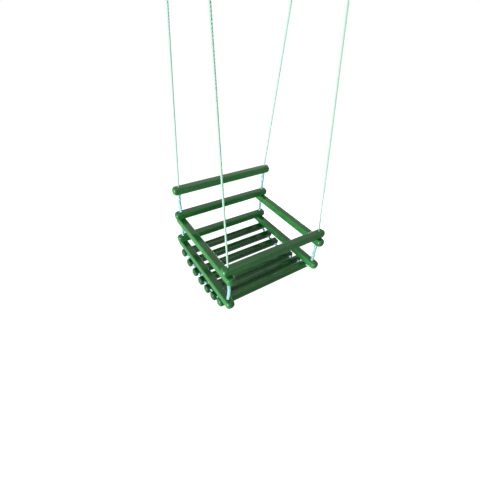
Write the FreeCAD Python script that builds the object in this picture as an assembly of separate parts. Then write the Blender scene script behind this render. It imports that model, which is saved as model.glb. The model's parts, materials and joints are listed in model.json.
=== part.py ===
import FreeCAD, Part
import math
import os

# Child swing seat: painted wooden rods threaded on two ropes and held apart by clear plastic tubes.
# The seat faces -Y, its cross rods run along X, and the beam that it hangs from is above Z = 0.
# The origin is the middle of the four hooks, on the underside of the beam.

Vector = FreeCAD.Vector
ORIGIN = Vector(0, 0, 0)
ACROSS = Vector(1, 0, 0)
DEEP = Vector(0, 1, 0)
UP = Vector(0, 0, 1)
SIDES = {"left": -1, "right": 1}
QUARTER_TURN = 90

# A rounding of an end is at most this share of the radius that carries it
end_radius_limit_share = 0.97

# Square timber of the frame's eight rods
rod_side = 20.5
rod_edge_radius = 3.0
rod_nose_radius = 11.0
rod_nose_clearance = 0.7
cross_rod_overhang = 17.5
side_rod_overhang = 20.0

# Seat slats, hung in a shallow sag
slat_side = 22.0
slat_edge_radius = 6.5
slat_end_radius = 5.5
slat_overhang = 14.5
slat_count = 7
rear_slat_inset = 17.5
front_slat_inset = 26.5
seat_sag_radius = 300.0
seat_drop = 38.0

# Rope and the holes that it passes through
rope_diameter = 5.0
hole_clearance = 0.75

# Places of the rope holes, across and from front to back
holes_across = 290.0
holes_deep = 274.0

# Clear plastic tube, cut long for the posts and short between the slats
tube_diameter = 9.0
tube_wall = 1.2
upper_post_length = 62.0
front_post_length = 64.5
spacer_end_clearance = 0.35

# Room for the rods that rock on the ropes as the seat swings
top_rod_gap = 1.0
front_rod_gap = 1.8
rear_rope_gap = 0.7
front_rope_gap = 1.3

# How the seat hangs: hooks above, and the seat's middle a little in front of theirs
hooks_deep = 150.0
seat_forward = 12.3
hook_to_top_rod = 467.0

# Rope loops over the hooks, each tied off with a wrapped knot
loop_length = 34.0
loop_clearance = 0.5
leg_clearance = 0.1
knot_length = 16.0
knot_core_radius = 5.2
knot_wrap_radius = 4.4
knot_wrap_count = 3

# Steel screw hooks
hook_wire_diameter = 5.0
hook_ring_radius = 14.0
hook_neck_radius = 8.0
hook_stem_length = 5.0
hook_mouth_degrees = 28.0
collar_radius = 8.0
collar_thickness = 1.6
screw_diameter = 4.4
screw_length = 26.0
screw_tip_length = 5.0

# Radii and places that follow from the sizes above
rope_radius = rope_diameter / 2
hole_radius = rope_radius + hole_clearance
hole_x = holes_across / 2
rear_y = holes_deep / 2 - seat_forward
front_y = -holes_deep / 2 - seat_forward
middle_y = -seat_forward
hook_wire_radius = hook_wire_diameter / 2
tube_radius = tube_diameter / 2
tube_bore_radius = tube_radius - tube_wall
cut_overrun = rod_side

# The hook's wire leaves its stem through a neck bend that is tangent to the ring
neck_rise = math.sqrt(hook_ring_radius ** 2 + 2 * hook_ring_radius * hook_neck_radius)
hook_drop = collar_thickness + hook_stem_length + neck_rise + hook_ring_radius
hang_z = -hook_drop

# Heights of the rods' top faces, from the hooks down
top_back_z = hang_z - hook_to_top_rod
upper_back_z = top_back_z - rod_side - upper_post_length
upper_side_z = upper_back_z - rod_side
lower_side_z = upper_side_z - rod_side - front_post_length
lower_back_z = lower_side_z + rod_side
front_rod_z = upper_side_z + front_rod_gap + rod_side
lower_side_bottom_z = lower_side_z - rod_side

# The pivots: where a strand leaves its rod below, and the hook's wire above
rear_pivot = Vector(0, rear_y, top_back_z - rod_side)
front_pivot = Vector(0, front_y, front_rod_z - rod_side)
rear_hang = Vector(0, hooks_deep / 2, hang_z)
front_hang = Vector(0, -hooks_deep / 2, hang_z)

# The slats lie on one arc, evenly spaced. Its lowest point is midway between the first and the last
first_slat_y = rear_y - rear_slat_inset
last_slat_y = front_y + front_slat_inset
sag_middle_y = (first_slat_y + last_slat_y) / 2
sag_bottom_z = lower_side_bottom_z - seat_drop
sag_centre = Vector(0, sag_middle_y, sag_bottom_z + seat_sag_radius)
slat_turn = 2 * math.asin((first_slat_y - sag_middle_y) / seat_sag_radius) / (slat_count - 1)


def side_vector(side):
    return Vector(SIDES[side] * hole_x, 0, 0)


def unit(vector):
    return Vector(vector).normalize()


def save(name, shape):
    shape.exportStep("parts/" + name + ".step")


def planed_rod(length, side, edge_radius):
    """A square rod along X about the origin, with round long edges."""
    rod = Part.makeBox(length, side, side, Vector(-length / 2, -side / 2, -side / 2))
    return rod.makeFillet(edge_radius, [edge for edge in rod.Edges if edge.Length > side])


def sanded_slat(length):
    """A slat's rod whose end rims are sanded round, less than its long edges."""
    rod = planed_rod(length, slat_side, slat_edge_radius)
    end_faces = [face for face in rod.Faces if abs(face.normalAt(0, 0).x) > 1 / 2]
    rim = [edge for face in end_faces for edge in face.Edges]
    return rod.makeFillet(min(slat_end_radius, slat_edge_radius * end_radius_limit_share), rim)


def nosed_rod(length):
    """A rod of the frame. Its ends are turned to round noses, as on a round bar just wider than the rod."""
    corner = (rod_side / 2 - rod_edge_radius) * math.sqrt(2) + rod_edge_radius
    bar_radius = corner + rod_nose_clearance
    bar = Part.makeCylinder(bar_radius, length, Vector(-length / 2, 0, 0), ACROSS)
    rims = [edge for edge in bar.Edges if edge.Closed]
    bar = bar.makeFillet(min(rod_nose_radius, bar_radius * end_radius_limit_share), rims)
    return planed_rod(length, rod_side, rod_edge_radius).common(bar)


def drilled(rod, centre, direction, side=rod_side):
    """The rod with one rope hole along a direction through a point."""
    axis = unit(direction)
    length = side + 2 * cut_overrun
    drill = Part.makeCylinder(hole_radius, length, centre - axis * (length / 2), axis)
    return rod.cut(drill)


def cross_rod(y, top_z, lean=UP):
    """A rod along X whose two rope holes follow the rope's lean."""
    length = holes_across + 2 * cross_rod_overhang
    rod = nosed_rod(length)
    centre = Vector(0, y, top_z - rod_side / 2)
    rod.translate(centre)
    for side in SIDES:
        rod = drilled(rod, centre + side_vector(side), lean)
    return rod


def side_rod(side, top_z):
    """A rod along Y with a rope hole near each end."""
    length = holes_deep + 2 * side_rod_overhang
    rod = nosed_rod(length)
    rod.rotate(ORIGIN, UP, QUARTER_TURN)
    centre = side_vector(side) + Vector(0, middle_y, top_z - rod_side / 2)
    rod.translate(centre)
    for y in (front_y, rear_y):
        rod = drilled(rod, Vector(centre.x, y, centre.z), UP)
    return rod


def slat_angle(number):
    """Where slat 1 to slat_count lies on the sag's arc, from its lowest point towards the back."""
    return ((slat_count + 1) / 2 - number) * slat_turn


def sag_point(angle):
    radial = Vector(0, math.sin(angle), -math.cos(angle))
    return sag_centre + radial * seat_sag_radius


def sag_direction(angle):
    """Along the arc towards the back."""
    return Vector(0, math.cos(angle), math.sin(angle))


def slat(number):
    """A seat slat, turned with the sag and drilled along it."""
    angle = slat_angle(number)
    length = holes_across + 2 * slat_overhang
    rod = sanded_slat(length)
    for side in SIDES:
        rod = drilled(rod, side_vector(side), DEEP, slat_side)
    rod.rotate(ORIGIN, ACROSS, math.degrees(angle))
    rod.translate(sag_point(angle))
    return rod


def tube(base, top):
    """Clear tube between two points, open at both ends."""
    axis = top - base
    outside = Part.makeCylinder(tube_radius, axis.Length, base, axis)
    return outside.cut(Part.makeCylinder(tube_bore_radius, axis.Length, base, axis))


def post_tube(side, y, base_z, top_z):
    return tube(side_vector(side) + Vector(0, y, base_z), side_vector(side) + Vector(0, y, top_z))


def spacer(side, number):
    """Short tube between a slat and the next one in front of it."""
    back, front = slat_angle(number), slat_angle(number + 1)
    start = sag_point(back) - sag_direction(back) * (slat_side / 2)
    end = sag_point(front) + sag_direction(front) * (slat_side / 2)
    inset = unit(end - start) * spacer_end_clearance
    return tube(side_vector(side) + start + inset, side_vector(side) + end - inset)


def swept(edges, start, direction, radius):
    """A round bar along a path of tangent lines and arcs."""
    circle = Part.makeCircle(radius, start, direction)
    return Part.Wire(edges).makePipeShell([Part.Wire([circle])], True, False)


def line(start, end):
    return Part.LineSegment(start, end).toShape()


def arc(start, middle, end):
    return Part.Arc(start, middle, end).toShape()


def bend(before, corner, after, limit):
    """The tangent arc at a corner of the rope. It takes up to a limit of each of its two runs."""
    back, ahead = unit(before - corner), unit(after - corner)
    half = back.getAngle(ahead) / 2
    radius = limit * math.tan(half)
    inward = unit(back + ahead)
    centre = corner + inward * (radius / math.sin(half))
    start, end = corner + back * limit, corner + ahead * limit
    return start, centre - inward * radius, end, radius


def seat_rope(side):
    """One rope from the top back rod down, forward through the slats and up to the front rod."""
    offset = side_vector(side)
    first, last = slat_angle(1), slat_angle(slat_count)
    top_rear = Vector(0, rear_y, rear_pivot.z - rear_rope_gap)
    top_front = Vector(0, front_y, front_pivot.z - front_rope_gap)
    below_rear = Vector(0, rear_y, lower_side_bottom_z)
    below_front = Vector(0, front_y, lower_side_bottom_z)
    slat_rear, slat_front = sag_point(first), sag_point(last)
    reach_rear = (rear_y - slat_rear.y) / math.cos(first)
    reach_front = (slat_front.y - front_y) / math.cos(last)
    corner_rear = slat_rear + sag_direction(first) * reach_rear
    corner_front = slat_front - sag_direction(last) * reach_front
    limit_rear = min(reach_rear - slat_side / 2, (below_rear - corner_rear).Length)
    limit_front = min(reach_front - slat_side / 2, (below_front - corner_front).Length)
    a, b, c, radius_rear = bend(below_rear, corner_rear, slat_rear, limit_rear)
    d, e, f, radius_front = bend(slat_front, corner_front, below_front, limit_front)
    points = [top_rear, a, b, c, slat_rear, sag_point(0), slat_front, d, e, f, top_front]
    p = [point + offset for point in points]
    edges = [line(p[0], p[1]), arc(p[1], p[2], p[3]), line(p[3], p[4]), arc(p[4], p[5], p[6])]
    edges += [line(p[6], p[7]), arc(p[7], p[8], p[9]), line(p[9], p[10])]
    rope = swept(edges, p[0], p[1] - p[0], rope_radius)
    length = sum(edge.Length for edge in edges)
    report_rope("seat rope " + side, rope, length, (radius_rear, radius_front, seat_sag_radius))
    return rope


def report_rope(name, rope, length, radii=()):
    """Print a rope's length and bends, and its volume against its section times its length."""
    share = rope.Volume / (math.pi * rope_radius ** 2 * length)
    bends = ", ".join(f"{radius:.1f}" for radius in radii) or "none"
    print(f"{name}: length {length:.1f}, bend radii {bends}, volume share {share:.4f}")


class Strand:
    """One of the four straight ropes, from its pivot at a rod up to the loop on its hook."""

    def __init__(self, side, pivot, hang):
        self.pivot = pivot + side_vector(side)
        self.hang = hang + side_vector(side)
        self.down = unit(self.pivot - self.hang)
        self.across = self.down.cross(ACROSS)

    def at(self, along, sideways=0):
        """A point below the hook's wire along the strand, and to one side of it."""
        return self.hang + self.down * along + self.across * sideways

    def rope(self, name):
        start, end = self.pivot, self.at(loop_length + knot_length)
        length = (end - start).Length
        rope = Part.makeCylinder(rope_radius, length, start, end - start)
        report_rope(name, rope, length)
        return rope

    def knot(self):
        """A wrapped knot below the loop."""
        body = Part.makeCylinder(knot_core_radius, knot_length, self.at(loop_length), self.down)
        step = knot_length / knot_wrap_count
        for number in range(knot_wrap_count):
            middle = self.at(loop_length + (number + 1 / 2) * step)
            wrap = Part.makeTorus(knot_wrap_radius, rope_radius, middle, self.down)
            body = body.fuse(wrap)
        return body

    def loop(self):
        """Rope from the knot over the hook's wire and back."""
        radius = hook_wire_radius + rope_radius + loop_clearance
        leg = rope_radius + leg_clearance
        reach = math.hypot(leg, loop_length)
        turn = math.atan2(leg, loop_length) + math.acos(radius / reach)
        right = (radius * math.cos(turn), radius * math.sin(turn))
        feet = [self.at(loop_length, leg), self.at(loop_length, -leg)]
        knees = [self.at(*right), self.at(right[0], -right[1])]
        edges = [line(feet[0], knees[0]), arc(knees[0], self.at(-radius), knees[1])]
        edges.append(line(knees[1], feet[1]))
        rope = swept(edges, feet[0], knees[0] - feet[0], rope_radius)
        return rope.cut(self.knot())


def hook(x, y, facing):
    """A screw hook, open towards one side. Its ring lies across the swing's motion."""
    top = Vector(x, y, 0)
    collar = Part.makeCylinder(collar_radius, collar_thickness, top, -UP)
    neck_z = -collar_thickness - hook_stem_length
    ring_centre = Vector(x, y, hang_z + hook_ring_radius)
    neck_centre = Vector(x - facing * hook_neck_radius, y, neck_z)
    meet = ring_centre + unit(neck_centre - ring_centre) * hook_ring_radius
    start, neck_top = Vector(x, y, -collar_thickness), Vector(x, y, neck_z)
    along_neck = unit(unit(neck_top - neck_centre) + unit(meet - neck_centre))
    mouth = math.radians(hook_mouth_degrees)
    tip = ring_centre + Vector(facing * math.cos(mouth), 0, math.sin(mouth)) * hook_ring_radius
    bottom = ring_centre - UP * hook_ring_radius
    edges = [line(start, neck_top)]
    edges.append(arc(neck_top, neck_centre + along_neck * hook_neck_radius, meet))
    edges.append(arc(meet, bottom, tip))
    wire = swept(edges, start, neck_top - start, hook_wire_radius)
    tip_ball = Part.makeSphere(hook_wire_radius, tip)
    plain = screw_length - screw_tip_length
    screw = Part.makeCylinder(screw_diameter / 2, plain, top, UP)
    point_base = top + UP * plain
    point = Part.makeCone(screw_diameter / 2, 0, screw_tip_length, point_base, UP)
    return collar.multiFuse([wire, tip_ball, screw, point])


os.makedirs("parts", exist_ok=True)

# The two rods that rock follow the lean of the strands that carry them
rear_lean = rear_hang - rear_pivot
front_lean = front_hang - front_pivot
top_rod_y = rear_y + rear_lean.y / rear_lean.z * rod_side / 2
front_rod_y = front_y + front_lean.y / front_lean.z * rod_side / 2

save("top_back_rod", cross_rod(top_rod_y, top_back_z, rear_lean))
save("upper_back_rod", cross_rod(rear_y, upper_back_z))
save("lower_back_rod", cross_rod(rear_y, lower_back_z))
save("front_rod", cross_rod(front_rod_y, front_rod_z, front_lean))

for number in range(1, slat_count + 1):
    save(f"slat_{number}", slat(number))

for side in SIDES:
    save("upper_side_rod_" + side, side_rod(side, upper_side_z))
    save("lower_side_rod_" + side, side_rod(side, lower_side_z))
    top_of_back_tube = rear_pivot.z - top_rod_gap
    save("upper_back_tube_" + side, post_tube(side, rear_y, upper_back_z, top_of_back_tube))
    upper_side_bottom_z = upper_side_z - rod_side
    save("lower_back_tube_" + side, post_tube(side, rear_y, lower_back_z, upper_side_bottom_z))
    save("front_tube_" + side, post_tube(side, front_y, lower_side_z, upper_side_bottom_z))
    for number in range(1, slat_count):
        save(f"spacer_{side}_{number}", spacer(side, number))
    save("seat_rope_" + side, seat_rope(side))
    for place, pivot, hang in (("rear", rear_pivot, rear_hang), ("front", front_pivot, front_hang)):
        strand = Strand(side, pivot, hang)
        save(f"{place}_strand_{side}", strand.rope(f"{place} strand {side}"))
        save(f"{place}_knot_{side}", strand.knot())
        save(f"{place}_loop_{side}", strand.loop())
        save(f"{place}_hook_{side}", hook(strand.hang.x, strand.hang.y, SIDES[side]))
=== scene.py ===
import json
import math

import bmesh
import bpy
from mathutils import Matrix, Vector, noise


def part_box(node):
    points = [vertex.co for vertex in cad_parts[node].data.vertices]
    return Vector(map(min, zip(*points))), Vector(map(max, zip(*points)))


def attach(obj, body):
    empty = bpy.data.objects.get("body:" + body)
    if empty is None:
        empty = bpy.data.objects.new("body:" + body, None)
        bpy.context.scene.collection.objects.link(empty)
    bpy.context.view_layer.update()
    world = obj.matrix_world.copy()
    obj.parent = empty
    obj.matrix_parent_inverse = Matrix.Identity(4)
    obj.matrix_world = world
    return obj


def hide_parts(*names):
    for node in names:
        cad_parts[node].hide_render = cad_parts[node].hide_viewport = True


# Child swing seat: enamelled wooden rods threaded on twisted rope, with clear plastic tubes between them

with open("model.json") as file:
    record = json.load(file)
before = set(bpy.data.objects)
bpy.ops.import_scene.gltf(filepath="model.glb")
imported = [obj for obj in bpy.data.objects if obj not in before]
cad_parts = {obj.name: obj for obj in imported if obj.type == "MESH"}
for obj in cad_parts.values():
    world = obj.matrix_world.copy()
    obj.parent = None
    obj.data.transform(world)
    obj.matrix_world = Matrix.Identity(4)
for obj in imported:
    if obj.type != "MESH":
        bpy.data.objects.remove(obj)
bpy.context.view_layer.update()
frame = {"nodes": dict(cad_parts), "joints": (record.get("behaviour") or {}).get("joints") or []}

MM = 0.001
TINY = 1e-12
ACROSS = Vector((1, 0, 0))
UP = Vector((0, 0, 1))
SIDES = {"left": -1, "right": 1}

# Timber
rod_side = 20.5 * MM
rod_edge_radius = 3 * MM
rod_nose_radius = 11 * MM
nose_clearance = 0.7 * MM
nose_blend = 24
slat_side = 22 * MM
slat_edge_radius = 6.5 * MM
slat_end_radius = 5.5 * MM
least_edge_radius = 1 * MM
sag_radius = 300 * MM
ring_spacing = 8 * MM
flat_steps = 4
corner_steps = 5
end_rings = 8
cap_ring_share = 0.5
rod_crease = math.radians(38)

# Rope holes in the timber
hole_radius = 3.25 * MM
rim_width = 0.7 * MM
drill_overrun = 3 * MM
drill_sides = 20

# Unevenness of the timber. Each rod reads the noise from a place of its own, its seed times the step
hand_planing = 0.2 * MM
planing_scale = 14
paint_lumps = 0.05 * MM
lump_scale = 75
seed_step = (3.1, 1.7, 0.9)
side_rod_seed = 6
slat_seed = 20

# Rope
rope_diameter = 5 * MM
rope_lay = 15 * MM
rope_step = 0.9 * MM
strand_sides = 8
yarn_step = 1 / 5
yarns_around = 9
yarn_depth = 0.5
straight_run = 6 * rope_diameter
spline_resolution = 24
nearly_across = 0.9
loop_phase = 0.7
knot_phase = 0.3
seat_phase = 1.1

# Loops and knots at the hooks
hook_wire_radius = 2.5 * MM
loop_length = 34 * MM
loop_foot = 2.2 * MM
loop_waist = 4.4 * MM
waist_height = 12 * MM
loop_play = 0.4 * MM
loop_tuck = 0.7
knot_length = 16 * MM
knot_inset = 2 * MM
knot_wraps = 3.3
points_each_wrap = 8
knot_wide = 6.2 * MM
knot_deep = 5.0 * MM

# The knot's tail, in millimetres up, aside and out from the start of its first wrap
knot_tail = ((9, 13, 0), (3, 9, 0), (-1, 4, -2))

# Clear tubes
tube_radius = 4.5 * MM
tube_wall = 1.2 * MM
tube_rounding = 0.25 * MM
tube_steps = 14
tube_sides = 24
tube_crease = math.radians(50)
spacer_clearance = 0.35 * MM

# How far the middle of a bowed tube leaves its straight line. A rope's spline goes three quarters of the
# way out to a control point in the middle of a tube
bows = {
    "front_tube_left": Vector((2.2, -1.4, 0)) * MM,
    "front_tube_right": Vector((0.5, 0.3, 0)) * MM,
    "upper_back_tube_left": Vector((-0.5, 0.2, 0)) * MM,
    "upper_back_tube_right": Vector((0.4, 0.4, 0)) * MM,
}
spline_reach = 0.75

# Colours. A pair holds the deepest and the lightest shade
frame_greens = ((0.026, 0.205, 0.042), (0.036, 0.260, 0.055))
# The slats behind the front one are painted a darker green than the frame, as painted shade in the seat's
# well and between the slats
shaded_slat_greens = ((0.013, 0.108, 0.026), (0.019, 0.142, 0.034))
front_slat_greens = ((0.026, 0.185, 0.034), (0.036, 0.235, 0.045))
worn_green = (0.09, 0.42, 0.15)
hole_browns = ((0.05, 0.12, 0.05), (0.20, 0.30, 0.14))
open_mints = ((0.52, 0.84, 0.62), (0.70, 0.95, 0.80))
# The seat rope, which runs in the tubes, is painted paler than the hanging strands, as painted light
sheathed_lit_mints = ((0.70, 1.0, 0.95), (0.80, 1.0, 0.98))
# Painted shade for the grooves between the rope's strands
groove_shade_mint = (0.10, 0.46, 0.25)
plastic_tint = (0.74, 1.0, 0.98)
plastic_depth_tint = (0.40, 0.58, 0.90)
plastic_density = 110
zinc_greys = ((0.52, 0.53, 0.54), (0.68, 0.68, 0.67))
floor_grey = (0.45, 0.45, 0.45)
surround_warm = (1.0, 0.95, 0.88)
window_blue = (0.88, 0.96, 1.0)
ceiling_warm = (1.0, 0.94, 0.82)
fill_warm = (1.0, 0.97, 0.92)
white = (1, 1, 1)

# Streaks in the paint run along the rod, so their noise is stretched that way
along_x = (0.05, 1, 1)
along_y = (1, 0.05, 1)
streak_shade = 0.78
streak_share = 0.3
wear_share = 0.3

# Camera of the photograph
camera_place = Vector((-0.40105, -0.57214, -0.11030))
camera_right = Vector((0.845089, -0.533355, 0.036845))
camera_up = Vector((0.308403, 0.542632, 0.781305))
camera_lens = 22.143
camera_sensor = 36.0
camera_nearest = 0.01

# Stage
floor_z = -1.6
floor_size = 60
floor_gloss_share = 0.3
surround_strength = 0.1
seat_middle = Vector((0, 0, -0.64))


def middle(node):
    low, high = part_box(node)
    return (low + high) / 2


def joint(name):
    return next(j for j in frame["joints"] if j["name"] == name)


def share_of(part, whole):
    """How much of the whole the part is, from 0 to 1."""
    return min(max(part / whole, 0), 1)


# Materials


def colour(rgb):
    return (*rgb, 1.0)


class Nodes:
    """A node tree, with helpers that add nodes to it."""

    def __init__(self, tree):
        self.tree = tree

    def node(self, kind, **values):
        made = self.tree.nodes.new(kind)
        for name, value in values.items():
            setattr(made, name, value)
        return made

    def link(self, source, target):
        self.tree.links.new(source, target)

    def place(self, stretch=(1, 1, 1)):
        """The object's coordinates in metres times a stretch."""
        coordinates = self.node("ShaderNodeTexCoord")
        mapping = self.node("ShaderNodeMapping")
        mapping.inputs["Scale"].default_value = stretch
        self.link(coordinates.outputs["Object"], mapping.inputs["Vector"])
        return mapping.outputs["Vector"]

    def noise(self, place, scale, detail):
        made = self.node("ShaderNodeTexNoise")
        made.inputs["Scale"].default_value = scale
        made.inputs["Detail"].default_value = detail
        self.link(place, made.inputs["Vector"])
        return made.outputs["Fac"]

    def spread(self, value, low, high, to_low=0.0, to_high=1.0):
        """The value, with low moved to to_low and high to to_high."""
        made = self.node("ShaderNodeMapRange")
        made.inputs["From Min"].default_value = low
        made.inputs["From Max"].default_value = high
        made.inputs["To Min"].default_value = to_low
        made.inputs["To Max"].default_value = to_high
        self.link(value, made.inputs["Value"])
        return made.outputs["Result"]

    def math(self, operation, *values):
        made = self.node("ShaderNodeMath", operation=operation)
        for socket, value in zip(made.inputs, values):
            if isinstance(value, (int, float)):
                socket.default_value = value
            else:
                self.link(value, socket)
        return made.outputs["Value"]

    def mix(self, share, first, second):
        """Two colours mixed, each a tuple or another node's output."""
        made = self.node("ShaderNodeMix", data_type="RGBA")
        self.link(share, made.inputs["Factor"])
        for socket, value in ((made.inputs[6], first), (made.inputs[7], second)):
            if isinstance(value, tuple):
                socket.default_value = colour(value)
            else:
                self.link(value, socket)
        return made.outputs[2]

    def mix_surfaces(self, share, first, second):
        made = self.node("ShaderNodeMixShader")
        self.link(share, made.inputs["Fac"])
        self.link(first, made.inputs[1])
        self.link(second, made.inputs[2])
        return made.outputs[0]

    def attribute(self, name):
        return self.node("ShaderNodeAttribute", attribute_name=name).outputs["Fac"]

    def bump(self, height, strength, distance, normal=None):
        made = self.node("ShaderNodeBump")
        made.inputs["Strength"].default_value = strength
        made.inputs["Distance"].default_value = distance
        self.link(height, made.inputs["Height"])
        if normal is not None:
            self.link(normal, made.inputs["Normal"])
        return made.outputs["Normal"]


class Shader(Nodes):
    """A material with one glossy surface."""

    def __init__(self, name):
        self.material = bpy.data.materials.new(name)
        self.material.use_nodes = True
        super().__init__(self.material.node_tree)
        self.surface = self.tree.nodes["Principled BSDF"]
        self.output = self.tree.nodes["Material Output"]

    def set(self, **values):
        """Sets the surface's own sockets, named with _ for each space."""
        for name, value in values.items():
            self.surface.inputs[name.replace("_", " ")].default_value = value

    def finish(self, base=None, roughness=None, normal=None):
        """Links the outputs that feed the surface, and gives the material."""
        for name, value in (("Base Color", base), ("Roughness", roughness), ("Normal", normal)):
            if value is not None:
                self.link(value, self.surface.inputs[name])
        return self.material


def enamel(name, stretch, greens, gloss):
    """Brushed green enamel. Its streaks run along the rod, and it is worn lighter along the edges."""
    deep, light = greens
    streak_green = tuple(streak_shade * part for part in deep)
    shader = Shader(name)
    broad = shader.noise(shader.place(), scale=11, detail=2)
    streaks = shader.noise(shader.place(stretch), scale=320, detail=3)
    peel = shader.noise(shader.place(), scale=380, detail=1)
    wear = shader.noise(shader.place(), scale=130, detail=4)
    green = shader.mix(shader.spread(broad, low=0.3, high=0.7), deep, light)
    streaky = shader.spread(streaks, low=0.4, high=0.8, to_high=streak_share)
    green = shader.mix(streaky, green, streak_green)
    worn = shader.math("MULTIPLY", shader.attribute("edge"), shader.spread(wear, low=0.48, high=0.62))
    green = shader.mix(shader.math("MULTIPLY", worn, wear_share), green, worn_green)
    roughness = shader.spread(streaks, low=0.3, high=0.7, to_low=0.08, to_high=0.14)
    normal = shader.bump(streaks, strength=0.05, distance=0.12 * MM)
    normal = shader.bump(peel, strength=0.05, distance=0.15 * MM, normal=normal)
    shader.set(Specular_IOR_Level=gloss)
    return shader.finish(green, roughness, normal)


def hole_wood():
    """Bare wood and thin paint inside the rope holes."""
    shader = Shader("hole_wood")
    grain = shader.noise(shader.place((1, 1, 0.2)), scale=600, detail=4)
    shader.set(Roughness=0.7)
    brown = shader.mix(grain, *hole_browns)
    return shader.finish(brown, normal=shader.bump(grain, strength=0.4, distance=0.2 * MM))


def rope_yarn(name, mints, groove_shade):
    """Pale mint synthetic rope, with painted shade darkening the grooves between its strands."""
    shader = Shader(name)
    coordinates = shader.node("ShaderNodeUVMap", uv_map="along")
    split = shader.node("ShaderNodeSeparateXYZ")
    shader.link(coordinates.outputs["UV"], split.inputs["Vector"])
    slant = shader.math("MULTIPLY", split.outputs["X"], yarns_around)
    slant = shader.math("ADD", slant, split.outputs["Y"])
    wave = shader.math("SINE", shader.math("MULTIPLY", slant, 2 * math.pi))
    fuzz = shader.noise(shader.place(), scale=1800, detail=3)
    yarns = shader.math("ADD", shader.math("MULTIPLY", wave, yarn_depth), fuzz)
    mint = shader.mix(shader.spread(fuzz, low=0.3, high=0.7), *mints)
    # depth is the share of painted groove shade at each point
    depth = shader.spread(shader.attribute("groove"), low=0.1, high=0.9, to_low=groove_shade, to_high=0.0)
    mint = shader.mix(depth, mint, groove_shade_mint)
    shader.set(Roughness=0.38, Sheen_Weight=0.3, Sheen_Roughness=0.4)
    return shader.finish(mint, normal=shader.bump(yarns, strength=0.35, distance=0.12 * MM))


def clear_plastic():
    """Soft clear tube, faintly blue where it is seen edge on."""
    shader = Shader("clear_plastic")
    ripple = shader.noise(shader.place((1, 1, 0.25)), scale=260, detail=2)
    shader.set(Base_Color=colour(plastic_tint), Roughness=0.06, IOR=1.4, Transmission_Weight=0.65)
    tint = shader.node("ShaderNodeVolumeAbsorption")
    tint.inputs["Color"].default_value = colour(plastic_depth_tint)
    tint.inputs["Density"].default_value = plastic_density
    shader.link(tint.outputs["Volume"], shader.output.inputs["Volume"])
    return shader.finish(normal=shader.bump(ripple, strength=0.05, distance=0.3 * MM))


def zinc_steel():
    """Zinc-plated wire with fine drawing lines and a few dull patches."""
    shader = Shader("zinc_steel")
    fine = shader.noise(shader.place((1, 1, 0.1)), scale=900, detail=3)
    dull = shader.noise(shader.place(), scale=120, detail=3)
    shader.set(Metallic=1.0)
    grey = shader.mix(dull, *zinc_greys)
    roughness = shader.spread(dull, low=0.3, high=0.7, to_low=0.22, to_high=0.42)
    return shader.finish(grey, roughness, shader.bump(fine, strength=0.2, distance=0.08 * MM))


paint_across = enamel("enamel_across", along_x, frame_greens, gloss=0.36)
paint_deep = enamel("enamel_deep", along_y, frame_greens, gloss=0.36)
paint_slats_shaded = enamel("enamel_slats_painted_shade", along_x, shaded_slat_greens, gloss=0.28)
paint_front_slat = enamel("enamel_front_slat", along_x, front_slat_greens, gloss=0.34)
bare_hole = hole_wood()
yarn = rope_yarn("rope_yarn", open_mints, groove_shade=0.8)
# A paler copy of the rope with less groove shade, as painted light for the seat rope
sheathed_lit_yarn = rope_yarn("rope_yarn_in_tubes_painted_light", sheathed_lit_mints, groove_shade=0.2)
plastic = clear_plastic()
steel = zinc_steel()


# Mesh helpers


def mesh_from(bm, name):
    """The finished mesh of bm, with its faces turned outwards."""
    bmesh.ops.recalc_face_normals(bm, faces=bm.faces)
    mesh = bpy.data.meshes.new(name)
    bm.to_mesh(mesh)
    bm.free()
    return mesh


def smooth(mesh, crease=None):
    """Smooth shading, with an edge left sharp where its faces turn by more than the crease."""
    mesh.polygons.foreach_set("use_smooth", [True] * len(mesh.polygons))
    if crease is not None:
        mesh.set_sharp_from_angle(angle=crease)


def object_from(name, data):
    """An object in the scene for some mesh, curve, lamp or camera data."""
    made = bpy.data.objects.new(name, data)
    bpy.context.scene.collection.objects.link(made)
    return made


def evaluated_mesh(source):
    """The mesh that an object's modifiers or its curve give."""
    bpy.context.view_layer.update()
    evaluated = source.evaluated_get(bpy.context.evaluated_depsgraph_get())
    return bpy.data.meshes.new_from_object(evaluated)


def piece_from(name, mesh, body, nodes, slot, *materials):
    """An object for a finished mesh. It rides on its body and stands for its CAD nodes."""
    piece = object_from(name, mesh)
    mesh.materials.clear()
    for material in materials:
        mesh.materials.append(material)
    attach(piece, body)
    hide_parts(*nodes)
    return piece


def cut_away(mesh, cutters):
    """The mesh with the cutters' meshes taken away from it."""
    work = object_from("work", mesh)
    helpers = [work]
    for cutter in cutters:
        helper = object_from("cutter", cutter)
        helpers.append(helper)
        modifier = work.modifiers.new("hole", "BOOLEAN")
        modifier.object = helper
        modifier.operation = "DIFFERENCE"
        modifier.solver = "EXACT"
        modifier.material_mode = "TRANSFER"
    result = evaluated_mesh(work)
    for helper in helpers:
        bpy.data.objects.remove(helper)
    return result


def sweep(bm, path, sides, radii, capped=True, uv_layer=None):
    """A round bar along a list of (point, normal, binormal), with a radius at each of them."""
    rings = []
    for (point, normal, binormal), radius in zip(path, radii):
        ring = []
        for k in range(sides):
            angle = 2 * math.pi * k / sides
            away = normal * math.cos(angle) + binormal * math.sin(angle)
            ring.append(bm.verts.new(point + away * radius))
        rings.append(ring)
    for index, (first, second) in enumerate(zip(rings, rings[1:])):
        for k in range(sides):
            after = (k + 1) % sides
            face = bm.faces.new((first[k], first[after], second[after], second[k]))
            if uv_layer is not None:
                corners = ((k, index), (k + 1, index), (k + 1, index + 1), (k, index + 1))
                for loop, (around, along) in zip(face.loops, corners):
                    loop[uv_layer].uv = (around / sides, along * yarn_step)
    if capped:
        bm.faces.new(reversed(rings[0]))
        bm.faces.new(rings[-1])
    return rings


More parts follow.
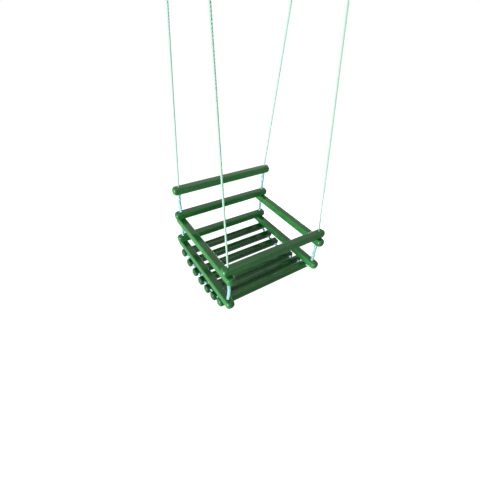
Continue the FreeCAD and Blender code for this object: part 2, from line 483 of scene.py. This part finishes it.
def travel(points):
    """The points with a normal and a binormal that turn as little as they can along the way."""
    path = []
    normal = None
    for index, point in enumerate(points):
        before = points[max(index - 1, 0)]
        after = points[min(index + 1, len(points) - 1)]
        tangent = (after - before).normalized()
        if normal is None:
            normal = UP if abs(tangent.x) > nearly_across else ACROSS
        normal = (normal - tangent * normal.dot(tangent)).normalized()
        path.append((point, normal, tangent.cross(normal)))
    return path


def spline_points(route):
    """Points read from the NURBS spline that has the route's points as its control points."""
    data = bpy.data.curves.new("route", "CURVE")
    data.dimensions = "3D"
    spline = data.splines.new("NURBS")
    spline.points.add(len(route) - 1)
    for target, point in zip(spline.points, route):
        target.co = (*point, 1)
    spline.order_u = 3
    spline.use_endpoint_u = True
    spline.resolution_u = spline_resolution
    holder = object_from("route", data)
    mesh = evaluated_mesh(holder)
    points = [vertex.co.copy() for vertex in mesh.vertices]
    bpy.data.objects.remove(holder)
    bpy.data.meshes.remove(mesh)
    return points


def evenly(points, step):
    """The same line with points a near-equal step apart."""
    lengths = [0.0]
    for first, second in zip(points, points[1:]):
        lengths.append(lengths[-1] + (second - first).length)
    count = max(2, round(lengths[-1] / step))
    result, span = [], 0
    for number in range(count + 1):
        target = lengths[-1] * number / count
        while span < len(points) - 2 and lengths[span + 1] < target:
            span += 1
        share = share_of(target - lengths[span], max(lengths[span + 1] - lengths[span], TINY))
        result.append(points[span].lerp(points[span + 1], share))
    return result


# Rods and slats


def profile(half, radius):
    """A square outline with round corners, as points (y, z)."""
    core = half - radius
    centres = ((core, core), (-core, core), (-core, -core), (core, -core))
    points = []
    for corner, (centre_y, centre_z) in enumerate(centres):
        start = math.pi / 2 * corner
        for k in range(corner_steps + 1):
            angle = start + math.pi / 2 * k / corner_steps
            points.append((centre_y + radius * math.cos(angle), centre_z + radius * math.sin(angle)))
        after = start + math.pi / 2
        next_y, next_z = centres[(corner + 1) % len(centres)]
        last_y, last_z = points[-1]
        first_y = next_y + radius * math.cos(after)
        first_z = next_z + radius * math.sin(after)
        for k in range(1, flat_steps):
            share = k / flat_steps
            points.append((last_y + (first_y - last_y) * share, last_z + (first_z - last_z) * share))
    return points


def sanded_end(side, edge_radius, end_radius, depth):
    """The outline at a depth from a flat end whose rim is sanded round."""
    inset = end_radius - math.sqrt(max(end_radius ** 2 - (end_radius - depth) ** 2, 0))
    return profile(side / 2 - inset, max(edge_radius - inset, least_edge_radius))


def turned_end(side, edge_radius, nose_radius, depth):
    """The outline at a depth from an end that is turned to a round nose."""
    corner = (side / 2 - edge_radius) * math.sqrt(2) + edge_radius
    reach = math.sqrt(max(nose_radius ** 2 - (nose_radius - depth) ** 2, 0))
    reach += corner + nose_clearance - nose_radius
    points = []
    for y, z in profile(side / 2, edge_radius):
        out = math.hypot(y, z)
        kept = (out ** -nose_blend + reach ** -nose_blend) ** (-1 / nose_blend)
        points.append((y * kept / out, z * kept / out))
    return points


def rod_outlines(length, timber):
    """The outlines along a rod, each an (x, points) with its points as (y, z)."""
    side, edge_radius, end_radius, end_outline = timber
    body = length / 2 - end_radius
    count = round(2 * body / ring_spacing)
    turns = [math.pi / 2 * k / end_rings for k in range(end_rings)]
    depths = [end_radius * (1 - math.cos(turn)) for turn in turns]
    ends = [(depth, end_outline(side, edge_radius, end_radius, depth)) for depth in depths]
    outlines = [(depth - length / 2, points) for depth, points in ends]
    outlines += [(-body + 2 * body * k / count, profile(side / 2, edge_radius)) for k in range(count + 1)]
    outlines += [(length / 2 - depth, points) for depth, points in reversed(ends)]
    return outlines


def close_end(bm, ring, x):
    """The flat end of a rod: a ring of quads and a fan in its middle."""
    centre = bm.verts.new((x, 0, 0))
    inner = [bm.verts.new(vertex.co.lerp(centre.co, cap_ring_share)) for vertex in ring]
    for k in range(len(ring)):
        after = (k + 1) % len(ring)
        bm.faces.new((ring[k], inner[k], inner[after], ring[after]))
        bm.faces.new((inner[k], centre, inner[after]))


def plane_uneven(bm, seed):
    """Moves the surface a little in and out, as hand planing and thick paint do."""
    shifts = []
    for vertex in bm.verts:
        point = vertex.co + Vector([seed * step for step in seed_step])
        broad = noise.noise(point * planing_scale) * hand_planing
        fine = noise.noise(point * lump_scale) * paint_lumps
        shifts.append(vertex.normal * (broad + fine))
    for vertex, shift in zip(bm.verts, shifts):
        vertex.co += shift


def rod_mesh(length, timber, place, seed):
    """A rod along X with round edges and ends, put in place."""
    bm = bmesh.new()
    rings = [[bm.verts.new((x, y, z)) for y, z in points] for x, points in rod_outlines(length, timber)]
    for first, second in zip(rings, rings[1:]):
        for k in range(len(first)):
            after = (k + 1) % len(first)
            bm.faces.new((first[k], second[k], second[after], first[after]))
    close_end(bm, rings[0], -length / 2)
    close_end(bm, rings[-1], length / 2)
    bmesh.ops.recalc_face_normals(bm, faces=bm.faces)
    bm.normal_update()
    plane_uneven(bm, seed)
    bm.transform(place)
    return mesh_from(bm, "rod")


def hole_cutter(centre, direction, side):
    """A drill with a small countersink at each face of the rod."""
    half = side / 2
    wide = hole_radius + rim_width
    outline = [(half + drill_overrun, wide), (half, wide), (half - rim_width, hole_radius)]
    outline += [(-along, radius) for along, radius in reversed(outline)]
    axis = direction.normalized()
    normal = axis.orthogonal().normalized()
    binormal = axis.cross(normal)
    path = [(centre + axis * along, normal, binormal) for along, radius in outline]
    bm = bmesh.new()
    sweep(bm, path, drill_sides, [radius for along, radius in outline])
    mesh = mesh_from(bm, "cutter")
    mesh.materials.append(bare_hole)
    return mesh


def mark_edges(mesh, place, length, side, edge_radius):
    """An attribute that rises from 0 on the flats to 1 on the rounded edges, where paint wears off."""
    wear_width = 0.7 * edge_radius
    back = place.inverted()
    cores = (length / 2 - edge_radius, side / 2 - edge_radius, side / 2 - edge_radius)
    values = []
    for vertex in mesh.vertices:
        point = back @ vertex.co
        outside = sorted(abs(point[axis]) - cores[axis] for axis in range(3))
        values.append(share_of(outside[1], wear_width))
    attribute = mesh.attributes.new("edge", "FLOAT", "POINT")
    attribute.data.foreach_set("value", values)


def rod(node, body, place, length, timber, holes, finish, seed):
    """One painted rod with its rope holes, each a (centre, direction)."""
    side, edge_radius = timber[:2]
    mesh = rod_mesh(length, timber, place, seed)
    mesh.materials.append(finish)
    mesh = cut_away(mesh, [hole_cutter(centre, direction, side) for centre, direction in holes])
    mark_edges(mesh, place, length, side, edge_radius)
    smooth(mesh, rod_crease)
    piece_from(node + "_painted", mesh, body, [node], "painted_wood", finish, bare_hole)


# A timber is its side, the radius of its edges, the depth of its ends and their outline
frame_timber = (rod_side, rod_edge_radius, rod_nose_radius, turned_end)
slat_timber = (slat_side, slat_edge_radius, slat_end_radius, sanded_end)
hole_x = middle("front_tube_right").x
rear_y = middle("upper_back_tube_right").y
front_y = middle("front_tube_right").y
rear_lean = Vector(joint("back_rod_slide")["axis"])
front_lean = Vector(joint("front_rod_slide")["axis"])


def cross_rod(node, body, lean, seed):
    """A rod from side to side. Its two holes lean as the strands there do."""
    low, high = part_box(node)
    centre = (low + high) / 2
    place = Matrix.Translation(centre)
    holes = [(centre + ACROSS * x, lean) for x in (-hole_x, hole_x)]
    rod(node, body, place, high.x - low.x, frame_timber, holes, paint_across, seed)


def side_rod(node, seed):
    """A rod from front to back, with one upright hole near each end."""
    low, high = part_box(node)
    centre = (low + high) / 2
    place = Matrix.Translation(centre) @ Matrix.Rotation(math.pi / 2, 4, "Z")
    holes = [(Vector((centre.x, y, centre.z)), UP) for y in (front_y, rear_y)]
    rod(node, "seat", place, high.y - low.y, frame_timber, holes, paint_deep, seed)


slat_names = sorted(n for n in frame["nodes"] if n.startswith("slat_"))
slat_centres = [middle(n) for n in slat_names]
sag_y = (slat_centres[0].y + slat_centres[-1].y) / 2
slat_angles = [math.asin((c.y - sag_y) / sag_radius) for c in slat_centres]
slat_ways = [Vector((0, math.cos(a), math.sin(a))) for a in slat_angles]


def slat(index):
    """One slat, turned square to the sagging rope that goes through it."""
    node = slat_names[index]
    low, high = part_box(node)
    centre = slat_centres[index]
    place = Matrix.Translation(centre) @ Matrix.Rotation(slat_angles[index], 4, "X")
    holes = [(centre + ACROSS * x, slat_ways[index]) for x in (-hole_x, hole_x)]
    # Every slat but the front one takes the darker green, which is painted shade
    finish = paint_front_slat if index == len(slat_names) - 1 else paint_slats_shaded
    rod(node, "seat", place, high.x - low.x, slat_timber, holes, finish, slat_seed + index)


cross_rod("top_back_rod", "back_rod", rear_lean, seed=1)
cross_rod("upper_back_rod", "seat", UP, seed=2)
cross_rod("lower_back_rod", "seat", UP, seed=3)
cross_rod("front_rod", "front_bar", front_lean, seed=4)
side_rods = [f"{height}_side_rod_{side}" for height in ("upper", "lower") for side in SIDES]
for number, node in enumerate(side_rods):
    side_rod(node, side_rod_seed + number)
for index in range(len(slat_names)):
    slat(index)


# Ropes


def twisted_rope(name, route, body, nodes, phase=0.0, material=yarn):
    """A rope of three round strands that touch each other, laid about the route's spline."""
    line = evenly(spline_points(route), rope_step)
    path = travel(line)
    radius = rope_diameter / 2
    strand = radius / (1 + 2 / math.sqrt(3))
    offset = radius - strand
    bm = bmesh.new()
    uv_layer = bm.loops.layers.uv.new("along")
    # groove holds how far out of the grooves each point lies; the yarn's material paints shade where it
    # is low
    groove = bm.verts.layers.float.new("groove")
    for number in range(3):
        centres = []
        for index, (point, normal, binormal) in enumerate(path):
            angle = phase + 2 * math.pi * (index * rope_step / rope_lay + number / 3)
            centres.append(point + (normal * math.cos(angle) + binormal * math.sin(angle)) * offset)
        rings = sweep(bm, travel(centres), strand_sides, [strand] * len(centres), uv_layer=uv_layer)
        for ring, point in zip(rings, line):
            for vertex in ring:
                vertex[groove] = share_of((vertex.co - point).length - offset, radius - offset)
    mesh = mesh_from(bm, name)
    smooth(mesh)
    return piece_from(name, mesh, body, nodes, "rope", material), line


rear_pivot = Vector(joint("seat_on_rear_ropes")["pos_m"])
rear_hang = Vector(joint("swing")["pos_m"])
front_hang = Vector(joint("front_ropes_swing")["pos_m"])
front_pivot = Vector((0, front_y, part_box("front_strand_left")[0].z))


def loop_shape():
    """The loop's points, each a distance below the middle of the hook's wire and one aside."""
    reach = hook_wire_radius + rope_diameter / 2 + loop_play
    half = [(loop_length + knot_length * loop_tuck, loop_foot), (loop_length, loop_foot),
            (loop_length - waist_height, loop_waist), (reach, reach), (-reach, reach)]
    return half + [(below, -aside) for below, aside in reversed(half)]


def knot_shape():
    """The knot's tail and its wraps from the lowest one up, each point as (below, aside, out)."""
    steps = round(knot_wraps * points_each_wrap)
    wraps = []
    for k in range(steps + 1):
        angle = 2 * math.pi * knot_wraps * k / steps
        below = loop_length + knot_length - knot_inset - (knot_length - 2 * knot_inset) * k / steps
        wraps.append((below, knot_wide * math.cos(angle), knot_deep * math.sin(angle)))
    below, aside, out = wraps[0]
    tail = [(below - rise * MM, aside + side * MM, out + far * MM) for rise, side, far in knot_tail]
    return tail + wraps


def hanging_rope(place, side, body, pivot, hang):
    """One taut strand from its rod to the knotted loop on its hook."""
    offset = ACROSS * (SIDES[side] * hole_x)
    start, top = pivot + offset, hang + offset
    up = (top - start).normalized()
    sideways = ACROSS.cross(up)

    def at(below, aside=0.0, out=0.0):
        """A point below the hook's wire, to one side of it in the loop's plane and across it."""
        return top - up * below + sideways * aside + ACROSS * out

    end = at(loop_length + knot_length / 2)
    route = [start, start + up * straight_run, end - up * straight_run, end]
    strand_name = f"{place}_strand_{side}"
    strand, line = twisted_rope(strand_name + "_rope", route, body, [strand_name])

    loop_name = f"{place}_loop_{side}"
    loop_route = [at(below, aside) for below, aside in loop_shape()]
    loop, _ = twisted_rope(loop_name + "_rope", loop_route, body, [loop_name], loop_phase)

    knot_name = f"{place}_knot_{side}"
    knot_route = [at(below, aside, out) for below, aside, out in knot_shape()]
    knot, _ = twisted_rope(knot_name + "_rope", knot_route, body, [knot_name], knot_phase)


def tube_ends(node):
    """The middles of an upright tube's two ends."""
    low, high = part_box(node)
    centre = (low + high) / 2
    return Vector((centre.x, centre.y, low.z)), Vector((centre.x, centre.y, high.z))


def inside_tube(node):
    """Control points of a rope that follows a bowed tube from its lower end to its upper one."""
    low, high = tube_ends(node)
    return [low, (low + high) / 2 + bows[node] / spline_reach, high]


def seat_rope(side):
    """The rope inside the seat, down through the back rods, forward through the slats and up again."""
    node = "seat_rope_" + side
    x = SIDES[side] * hole_x
    front_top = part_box("upper_side_rod_" + side)[1].z
    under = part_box("lower_side_rod_" + side)[0].z
    first, last = slat_centres[0], slat_centres[-1]
    corner_rear = first + slat_ways[0] * ((rear_y - first.y) / math.cos(slat_angles[0]))
    corner_front = last - slat_ways[-1] * ((last.y - front_y) / math.cos(slat_angles[-1]))
    route = inside_tube("upper_back_tube_" + side)[::-1]
    route += [Vector((x, rear_y, z)) for z in (under + straight_run, under, corner_rear.z)]
    route += [Vector((x, c.y, c.z)) for c in slat_centres]
    route += [Vector((x, front_y, z)) for z in (corner_front.z, under)]
    route += inside_tube("front_tube_" + side) + [Vector((x, front_y, front_top))]
    twisted_rope(node + "_rope", route, "seat", [node], seat_phase, sheathed_lit_yarn)


for side in SIDES:
    hanging_rope("rear", side, "rear_ropes", rear_pivot, rear_hang)
    hanging_rope("front", side, "front_ropes", front_pivot, front_hang)
for side in SIDES:
    seat_rope(side)


# Clear tubes


def tube_piece(node, start, end, bow):
    """A clear tube between two points. bow moves its middle."""
    points = []
    for k in range(tube_steps + 1):
        share = k / tube_steps
        points.append(start.lerp(end, share) + bow * (4 * share * (1 - share)))
    path = travel(points)
    rounding = [tube_rounding if k in (0, tube_steps) else 0 for k in range(tube_steps + 1)]
    bm = bmesh.new()
    outer = sweep(bm, path, tube_sides, [tube_radius - rim for rim in rounding], capped=False)
    inner = sweep(bm, path, tube_sides, [tube_radius - tube_wall + rim for rim in rounding], capped=False)
    for outside, inside in ((outer[0], inner[0]), (outer[-1], inner[-1])):
        for k in range(tube_sides):
            after = (k + 1) % tube_sides
            bm.faces.new((outside[k], outside[after], inside[after], inside[k]))
    mesh = mesh_from(bm, node)
    smooth(mesh, tube_crease)
    piece_from(node + "_clear", mesh, "seat", [node], "clear_tube", plastic)


def spacer(side, index):
    """The short tube between a slat and the next one."""
    beside = ACROSS * (SIDES[side] * hole_x - slat_centres[index].x)
    start = slat_centres[index] - slat_ways[index] * (slat_side / 2)
    end = slat_centres[index + 1] + slat_ways[index + 1] * (slat_side / 2)
    inset = (end - start).normalized() * spacer_clearance
    tube_piece(f"spacer_{side}_{index + 1}", start + beside + inset, end + beside - inset, Vector())


for node in sorted(n for n in frame["nodes"] if "_tube_" in n):
    start, end = tube_ends(node)
    tube_piece(node, start, end, bows.get(node, Vector()))
for side in SIDES:
    for index in range(len(slat_names) - 1):
        spacer(side, index)


# Hooks

for node, carried in frame["nodes"].items():
    if "_hook_" in node:
        carried.data.materials.clear()
        carried.data.materials.append(steel)


# Stage


def stage_floor():
    """A matt floor that looks plain white to the camera."""
    bpy.ops.mesh.primitive_plane_add(size=floor_size, location=(0, 0, floor_z))
    floor = bpy.context.object
    floor.name = "floor"
    shader = Shader("floor_white")
    shader.set(Base_Color=colour(floor_grey), Roughness=1.0, Specular_IOR_Level=0.0)
    coordinates = shader.node("ShaderNodeTexCoord")
    distance = shader.node("ShaderNodeVectorMath", operation="LENGTH")
    shader.link(coordinates.outputs["Object"], distance.inputs[0])
    glow = shader.node("ShaderNodeEmission")
    strength = shader.spread(distance.outputs["Value"], low=0.6, high=2.2, to_low=0.9)
    shader.link(strength, glow.inputs["Strength"])
    lit = shader.surface.outputs[0]
    both = shader.node("ShaderNodeAddShader")
    shader.link(lit, both.inputs[0])
    shader.link(glow.outputs[0], both.inputs[1])
    rays = shader.node("ShaderNodeLightPath").outputs
    seen = shader.math("MAXIMUM", rays["Is Camera Ray"], rays["Is Transmission Ray"])
    gloss = shader.math("MULTIPLY", rays["Is Glossy Ray"], floor_gloss_share)
    seen = shader.math("MAXIMUM", seen, gloss)
    shader.link(shader.mix_surfaces(seen, lit, both.outputs[0]), shader.output.inputs["Surface"])
    floor.data.materials.append(shader.material)


def world_light():
    """A soft warm surround for the object, and plain white behind it."""
    world = bpy.data.worlds.new("surround")
    bpy.context.scene.world = world
    world.use_nodes = True
    nodes = Nodes(world.node_tree)
    soft = nodes.tree.nodes["Background"]
    soft.inputs["Color"].default_value = colour(surround_warm)
    soft.inputs["Strength"].default_value = surround_strength
    plain = nodes.node("ShaderNodeBackground")
    plain.inputs["Color"].default_value = colour(white)
    plain.inputs["Strength"].default_value = 1.0
    rays = nodes.node("ShaderNodeLightPath").outputs
    seen = nodes.math("MAXIMUM", rays["Is Camera Ray"], rays["Is Glossy Ray"])
    seen = nodes.math("MAXIMUM", seen, rays["Is Transmission Ray"])
    surface = nodes.mix_surfaces(seen, soft.outputs[0], plain.outputs[0])
    nodes.link(surface, nodes.tree.nodes["World Output"].inputs["Surface"])


def softbox(name, place, size, energy, tint):
    """A square lamp that faces the seat."""
    data = bpy.data.lights.new(name, "AREA")
    data.shape = "SQUARE"
    data.size = size
    data.energy = energy
    data.color = tint
    lamp = object_from(name, data)
    lamp.location = place
    lamp.rotation_mode = "QUATERNION"
    lamp.rotation_quaternion = (seat_middle - Vector(place)).to_track_quat("-Z", "Y")


def photo_camera():
    """The camera at the photograph's viewing angle."""
    data = bpy.data.cameras.new("camera")
    data.sensor_width = camera_sensor
    data.lens = camera_lens
    data.clip_start = camera_nearest
    camera = object_from("camera", data)
    camera_back = camera_right.cross(camera_up)
    turned = Matrix((camera_right, camera_up, camera_back)).transposed().to_4x4()
    camera.matrix_world = Matrix.Translation(camera_place) @ turned
    bpy.context.scene.camera = camera


stage_floor()
world_light()
softbox("window", place=(-3.49, -0.62, -0.95), size=1.3, energy=205, tint=window_blue)
softbox("ceiling", place=(0, -0.1, 0.6), size=1.2, energy=4.6, tint=ceiling_warm)
softbox("fill", place=(1.87, 1.31, -0.96), size=0.9, energy=26, tint=fill_warm)
photo_camera()
bpy.context.scene.view_settings.view_transform = "Standard"
